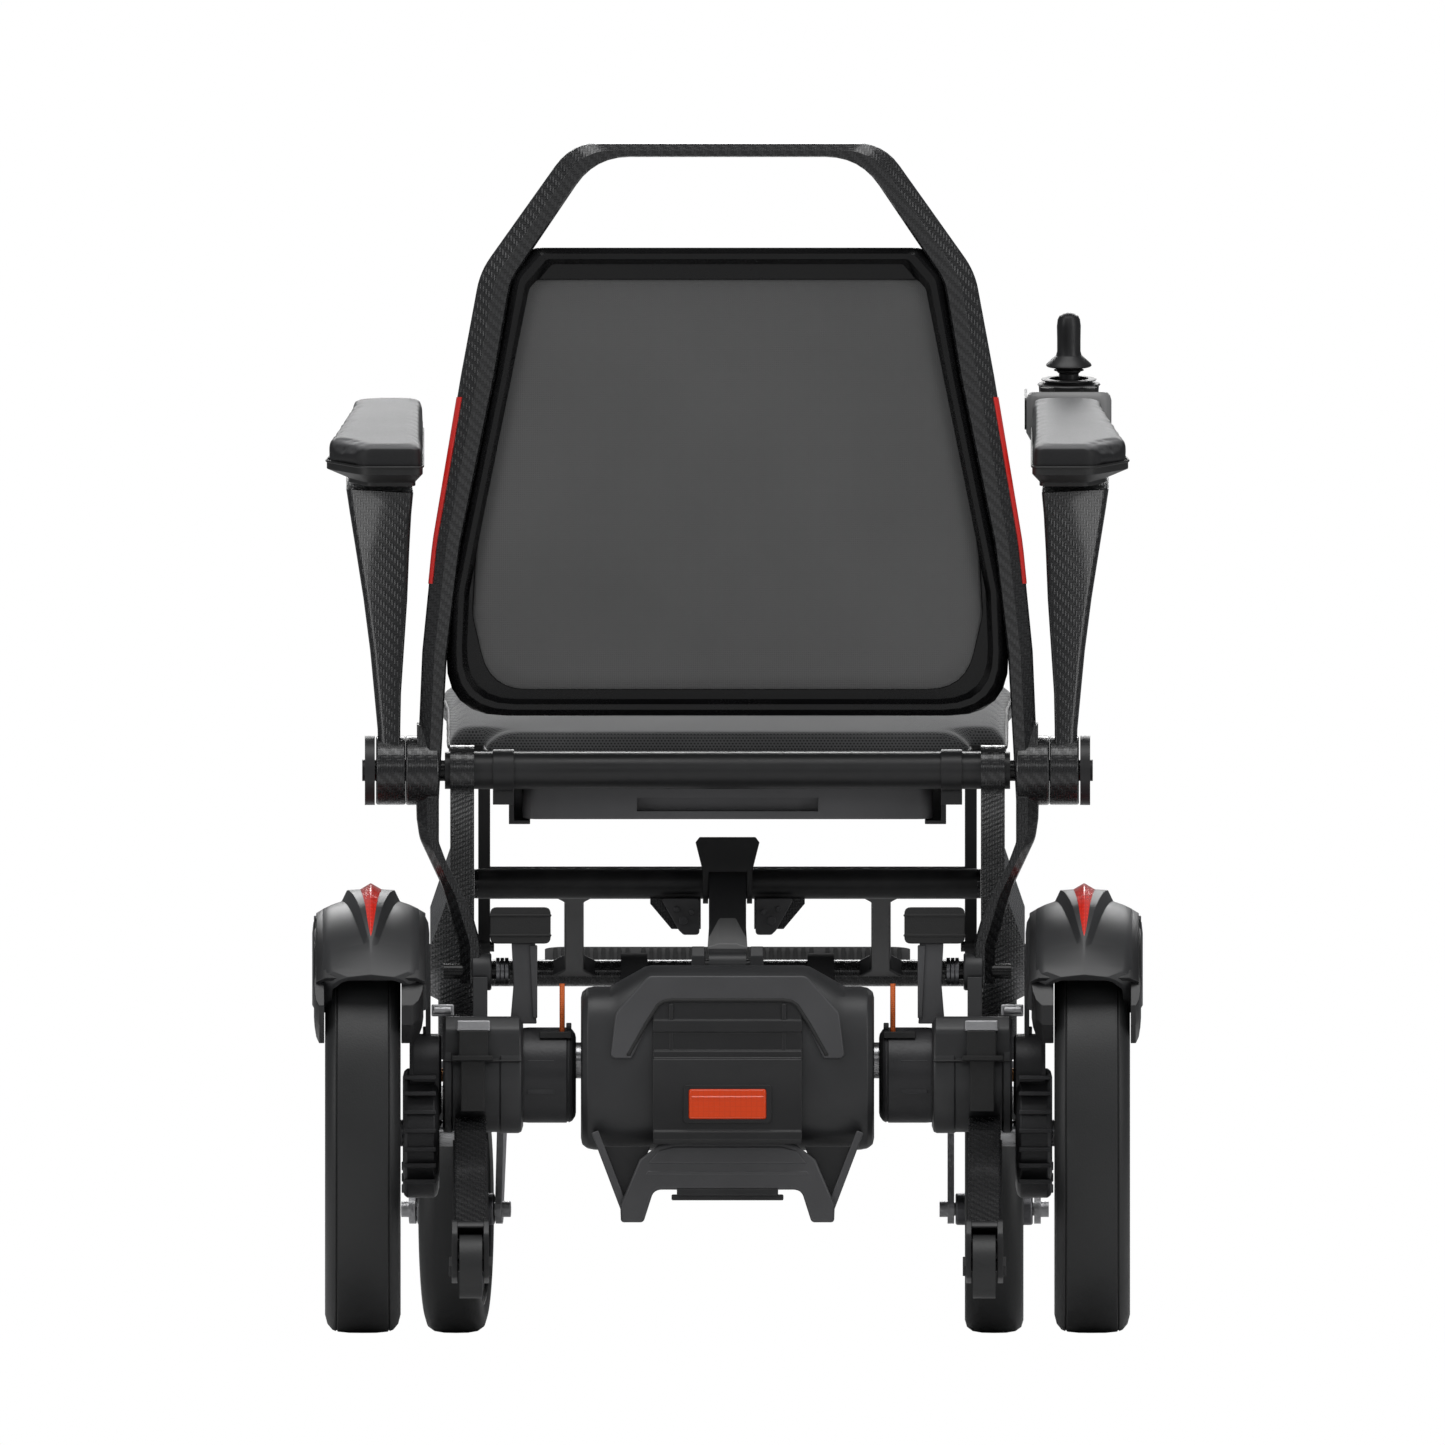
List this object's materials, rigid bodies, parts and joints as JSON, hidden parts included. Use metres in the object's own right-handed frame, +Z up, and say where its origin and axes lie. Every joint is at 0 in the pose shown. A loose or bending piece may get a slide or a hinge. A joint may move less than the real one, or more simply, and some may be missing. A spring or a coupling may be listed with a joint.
{
  "type": "power wheelchair",
  "caption": "Folding electric wheelchair with a woven composite frame, geared drive wheels, swivelling casters, flip-up armrests, joystick and sloping footplate.",
  "frame": {"origin": "on the floor, in the middle plane, straight under the drive axle", "axes": "+X towards the user's right, +Y the way the chair drives, +Z up"},
  "size_m": [0.62, 0.7987, 0.8945],
  "materials": {
    "carbon": "gloss woven composite",
    "black_plastic": "satin moulded",
    "grey_plastic": "satin moulded",
    "stand_plastic": "satin moulded",
    "gloss_black": "gloss",
    "panel": "plain stretched cover",
    "seat_fabric": "fine mesh",
    "pad": "soft satin foam skin",
    "cast_grey": "dark painted casting",
    "steel": "machined",
    "alloy": "dark anodised",
    "tyre": "smooth solid tyre",
    "rubber": "moulded",
    "lens": "translucent orange lens",
    "reflector": "faceted reflector",
    "orange_cord": "braided cord",
    "board": "circuit board",
    "battery_case": "satin moulded",
    "copper": "wound rotor"
  },
  "bodies": {
    "front_frame": {"front_frame": "carbon", "cross_tube": "carbon", "hub_axles": "steel", "hub_caps": "black_plastic"},
    "footplate": {"footplate": "black_plastic", "footplate_grips": "rubber"},
    "seat": {"seat_pan": "black_plastic", "seat_cushion": "seat_fabric"},
    "battery": {"battery_pack": "battery_case"},
    "seat_prop": {"seat_prop": "black_plastic"},
    "back_frame": {"back_frame": "carbon", "back_shell": "gloss_black", "back_panel": "panel", "back_cushion": "seat_fabric", "back_screws": "steel"},
    "rear_chassis": {"pivot_springs": "steel", "pivot_pins": "steel", "clamp_blocks": "cast_grey", "motor_case_left": "cast_grey", "motor_case_right": "cast_grey", "gearbox_left": "black_plastic", "gearbox_right": "black_plastic", "fender_left": "grey_plastic", "fender_right": "grey_plastic", "reflectors": "reflector", "unit_housing": "grey_plastic", "unit_cover": "black_plastic", "rear_light": "lens", "folding_stand": "stand_plastic", "control_board": "board", "antitip_tubes": "carbon", "bump_stops": "black_plastic", "release_cables": "orange_cord"},
    "latch_arm": {"latch_arm": "grey_plastic"},
    "latch_paddle": {"latch_paddle": "black_plastic"},
    "wheel_left": {"tyre_left": "tyre", "rim_left": "alloy", "axle_gear_left": "steel"},
    "wheel_right": {"tyre_right": "tyre", "rim_right": "alloy", "axle_gear_right": "steel"},
    "rotor_left": {"rotor_left": "copper"},
    "rotor_right": {"rotor_right": "copper"},
    "caster_fork_left": {"fork_left": "alloy"},
    "caster_fork_right": {"fork_right": "alloy"},
    "caster_wheel_left": {"caster_hub_left": "alloy", "caster_tyre_left": "tyre"},
    "caster_wheel_right": {"caster_hub_right": "alloy", "caster_tyre_right": "tyre"},
    "antitip_roller_left": {"antitip_roller_left": "rubber"},
    "antitip_roller_right": {"antitip_roller_right": "rubber"},
    "arm_left": {"arm_support_left": "carbon", "arm_pad_left": "pad"},
    "arm_right": {"arm_support_right": "carbon", "arm_pad_right": "pad", "joystick_box": "black_plastic"},
    "joystick_gimbal": {"joystick_gimbal": "steel"},
    "joystick_stick": {"joystick_stick": "rubber"},
    "power_button": {"power_button": "reflector"},
    "horn_button": {"horn_button": "reflector"}
  },
  "joints": [
    {"name": "back_fold", "type": "hinge", "parent": "front_frame", "child": "back_frame", "pos_m": [0, 0.04, 0.422], "axis": [1, 0, 0], "range_deg": [0, 36]},
    {"name": "chassis_fold", "type": "hinge", "parent": "back_frame", "child": "rear_chassis", "pos_m": [0, 0.005, 0.271], "axis": [1, 0, 0], "range_deg": [-36, 0]},
    {"name": "seat_fold", "type": "hinge", "parent": "front_frame", "child": "seat", "pos_m": [0, 0.04, 0.422], "axis": [1, 0, 0], "range_deg": [0, 80]},
    {"name": "prop_fold", "type": "hinge", "parent": "front_frame", "child": "seat_prop", "pos_m": [0, 0.332, 0.29], "axis": [1, 0, 0], "range_deg": [0, 45.5]},
    {"name": "latch_arm_fold", "type": "hinge", "parent": "rear_chassis", "child": "latch_arm", "pos_m": [0, 0.042, 0.276], "axis": [1, 0, 0], "range_deg": [0, 72.5]},
    {"name": "latch_release", "type": "hinge", "parent": "latch_arm", "child": "latch_paddle", "pos_m": [0, 0.20435, 0.329], "axis": [1, 0, 0], "range_deg": [0, 20], "stiffness_Nm_per_rad": 0.2},
    {"name": "battery_slide", "type": "slide", "parent": "seat", "child": "battery", "axis": [0, 0.9938, 0.1115], "range_m": [-0.28, 0]},
    {"name": "footplate_flip", "type": "hinge", "parent": "front_frame", "child": "footplate", "pos_m": [0, 0.37682, 0.27], "axis": [1, 0, 0], "range_deg": [0, 78]},
    {"name": "armrest_flip_left", "type": "hinge", "parent": "front_frame", "child": "arm_left", "pos_m": [-0.25, 0.04, 0.422], "axis": [1, 0, 0], "range_deg": [0, 80]},
    {"name": "armrest_flip_right", "type": "hinge", "parent": "front_frame", "child": "arm_right", "pos_m": [0.25, 0.04, 0.422], "axis": [1, 0, 0], "range_deg": [0, 80]},
    {"name": "drive_wheel_left", "type": "hinge", "parent": "rear_chassis", "child": "wheel_left", "pos_m": [-0.272, 0, 0.15], "axis": [1, 0, 0], "continuous": true},
    {"name": "drive_wheel_right", "type": "hinge", "parent": "rear_chassis", "child": "wheel_right", "pos_m": [0.272, 0, 0.15], "axis": [1, 0, 0], "continuous": true},
    {"name": "motor_spin_left", "type": "hinge", "parent": "rear_chassis", "child": "rotor_left", "pos_m": [-0.15, 0, 0.1935], "axis": [1, 0, 0], "continuous": true},
    {"name": "motor_spin_right", "type": "hinge", "parent": "rear_chassis", "child": "rotor_right", "pos_m": [0.15, 0, 0.1935], "axis": [1, 0, 0], "continuous": true},
    {"name": "caster_swivel_left", "type": "hinge", "parent": "front_frame", "child": "caster_fork_left", "pos_m": [-0.2, 0.43, 0.23], "axis": [0, 0, 1], "continuous": true},
    {"name": "caster_spin_left", "type": "hinge", "parent": "caster_fork_left", "child": "caster_wheel_left", "pos_m": [-0.20353, 0.38514, 0.093], "axis": [0.9969, -0.0785, 0], "continuous": true},
    {"name": "caster_swivel_right", "type": "hinge", "parent": "front_frame", "child": "caster_fork_right", "pos_m": [0.2, 0.43, 0.23], "axis": [0, 0, 1], "continuous": true},
    {"name": "caster_spin_right", "type": "hinge", "parent": "caster_fork_right", "child": "caster_wheel_right", "pos_m": [0.2, 0.385, 0.093], "axis": [1, 0, 0], "continuous": true},
    {"name": "antitip_spin_left", "type": "hinge", "parent": "rear_chassis", "child": "antitip_roller_left", "pos_m": [-0.191, -0.236, 0.05], "axis": [1, 0, 0], "continuous": true},
    {"name": "antitip_spin_right", "type": "hinge", "parent": "rear_chassis", "child": "antitip_roller_right", "pos_m": [0.191, -0.236, 0.05], "axis": [1, 0, 0], "continuous": true},
    {"name": "joystick_pitch", "type": "hinge", "parent": "arm_right", "child": "joystick_gimbal", "pos_m": [0.256, 0.27998, 0.70365], "axis": [1, 0, 0], "range_deg": [-15, 15], "stiffness_Nm_per_rad": 0.05},
    {"name": "joystick_roll", "type": "hinge", "parent": "joystick_gimbal", "child": "joystick_stick", "pos_m": [0.256, 0.27998, 0.70365], "axis": [0, 0.9925, 0.1219], "range_deg": [-15, 15], "stiffness_Nm_per_rad": 0.05},
    {"name": "power_press", "type": "slide", "parent": "arm_right", "child": "power_button", "axis": [0, 0.1219, -0.9925], "range_m": [0, 0.0015], "stiffness_N_per_m": 300},
    {"name": "horn_press", "type": "slide", "parent": "arm_right", "child": "horn_button", "axis": [0, 0.1219, -0.9925], "range_m": [0, 0.0015], "stiffness_N_per_m": 300}
  ],
  "couplings": [
    {"joint": "chassis_fold", "follows": "back_fold", "ratio": -1},
    {"joint": "seat_fold", "follows": "back_fold", "ratio": 2.2},
    {"joint": "prop_fold", "follows": "back_fold", "ratio": 1.25},
    {"joint": "latch_arm_fold", "follows": "back_fold", "ratio": 2},
    {"joint": "motor_spin_left", "follows": "drive_wheel_left", "ratio": -3.1429},
    {"joint": "motor_spin_right", "follows": "drive_wheel_right", "ratio": -3.1429}
  ]
}
